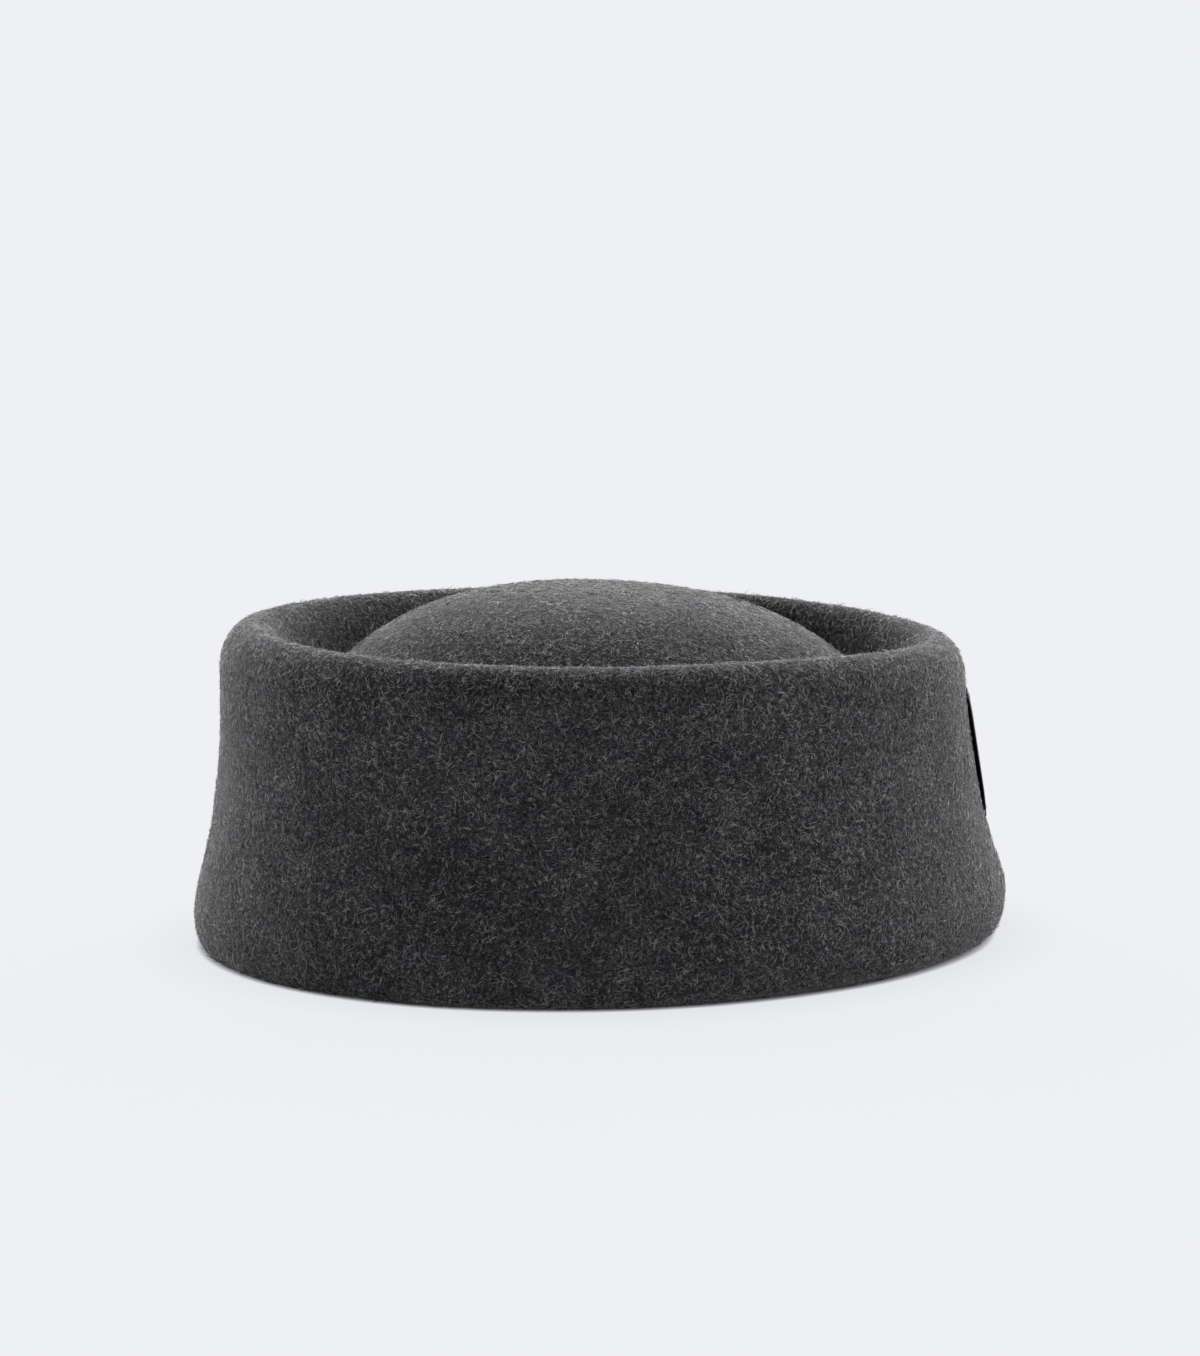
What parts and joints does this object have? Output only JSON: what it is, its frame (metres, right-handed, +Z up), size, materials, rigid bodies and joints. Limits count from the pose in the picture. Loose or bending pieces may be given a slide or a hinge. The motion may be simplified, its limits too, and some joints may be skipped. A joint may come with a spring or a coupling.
{
  "type": "felt pillbox hat",
  "caption": "Oval pillbox hat of thick grey felt with a rounded raised ridge round a low domed crown, a turned-in hem and a plain patch at the back.",
  "frame": {"origin": "centre of the hat's footprint, on the surface that its rim rests on", "axes": "+X from the front to the back where the label is, +Y to the side, +Z up through the crown"},
  "size_m": [0.2092, 0.1798, 0.0899],
  "materials": {
    "grey_felt": "thick wool felt, charcoal melange with paler loose fibres, matt and slightly hairy",
    "black_label": "closely woven black cloth patch, matt, bare"
  },
  "bodies": {
    "root": {"felt_body": "grey_felt", "back_label": "black_label"}
  },
  "joints": []
}
